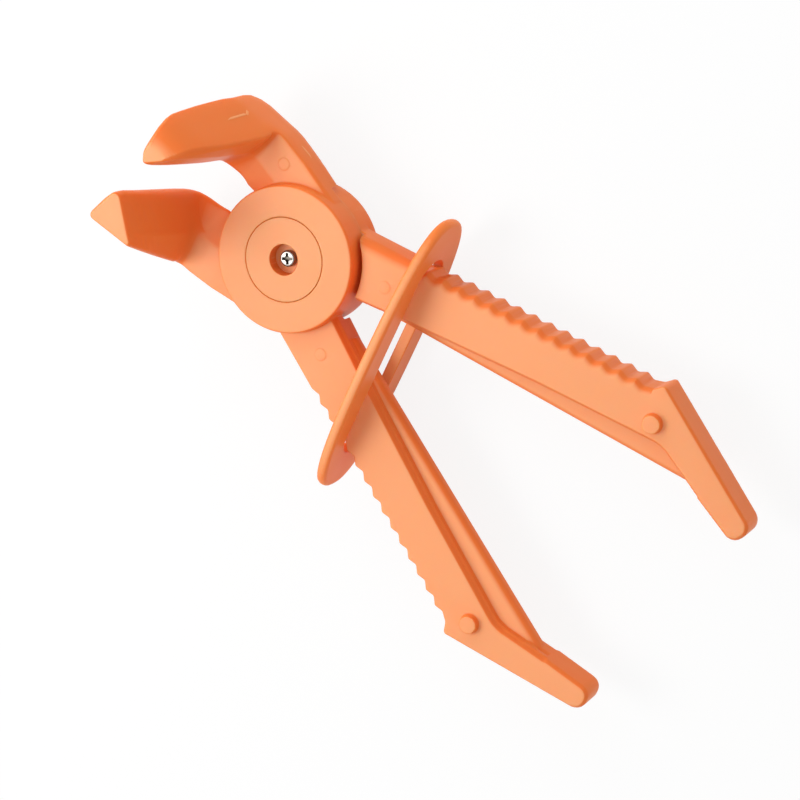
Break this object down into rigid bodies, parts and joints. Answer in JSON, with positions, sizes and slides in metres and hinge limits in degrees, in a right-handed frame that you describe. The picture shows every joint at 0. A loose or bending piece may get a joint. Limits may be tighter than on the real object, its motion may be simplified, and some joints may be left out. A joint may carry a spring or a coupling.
{
  "type": "line pinch-off pliers",
  "caption": "Moulded plastic pinch-off pliers with right-angled jaws, a round lap hub and an oval locking ring that slides along the toothed handles.",
  "frame": {"origin": "centre of the rear face of the hub, on the pivot axis", "axes": "+X from the pivot towards the jaws along the line that halves the tool, +Z along the pivot axis towards the front face, the way the jaws rise, +Y towards the front arm's handle"},
  "size_m": [0.2247, 0.1186, 0.0694],
  "materials": {
    "orange_nylon": "satin moulded orange nylon, slightly translucent",
    "zinc_steel": "bright zinc-plated screw and nut",
    "spring_steel": "drawn spring wire"
  },
  "bodies": {
    "pivot": {"front_cap": "orange_nylon", "rear_cap": "orange_nylon", "pivot_screw": "zinc_steel", "pivot_nut": "zinc_steel", "torsion_spring": "spring_steel"},
    "front_arm": {"front_arm": "orange_nylon"},
    "rear_arm": {"rear_arm": "orange_nylon"},
    "ring": {"locking_ring": "orange_nylon"}
  },
  "joints": [
    {"name": "front_arm_hinge", "type": "hinge", "parent": "pivot", "child": "front_arm", "pos_m": [0, 0, 0.0112], "axis": [0, 0, 1], "range_deg": [-3.8, 7]},
    {"name": "rear_arm_hinge", "type": "hinge", "parent": "pivot", "child": "rear_arm", "pos_m": [0, 0, 0.0112], "axis": [0, 0, 1], "range_deg": [-7, 3.8]},
    {"name": "ring_slide", "type": "slide", "parent": "pivot", "child": "ring", "axis": [-1, 0, 0], "range_m": [-0.0114, 0.0209]}
  ],
  "couplings": [
    {"joint": "rear_arm_hinge", "follows": "front_arm_hinge", "ratio": -1},
    {"joint": "ring_slide", "follows": "front_arm_hinge", "m_per_rad": 0.1702}
  ]
}
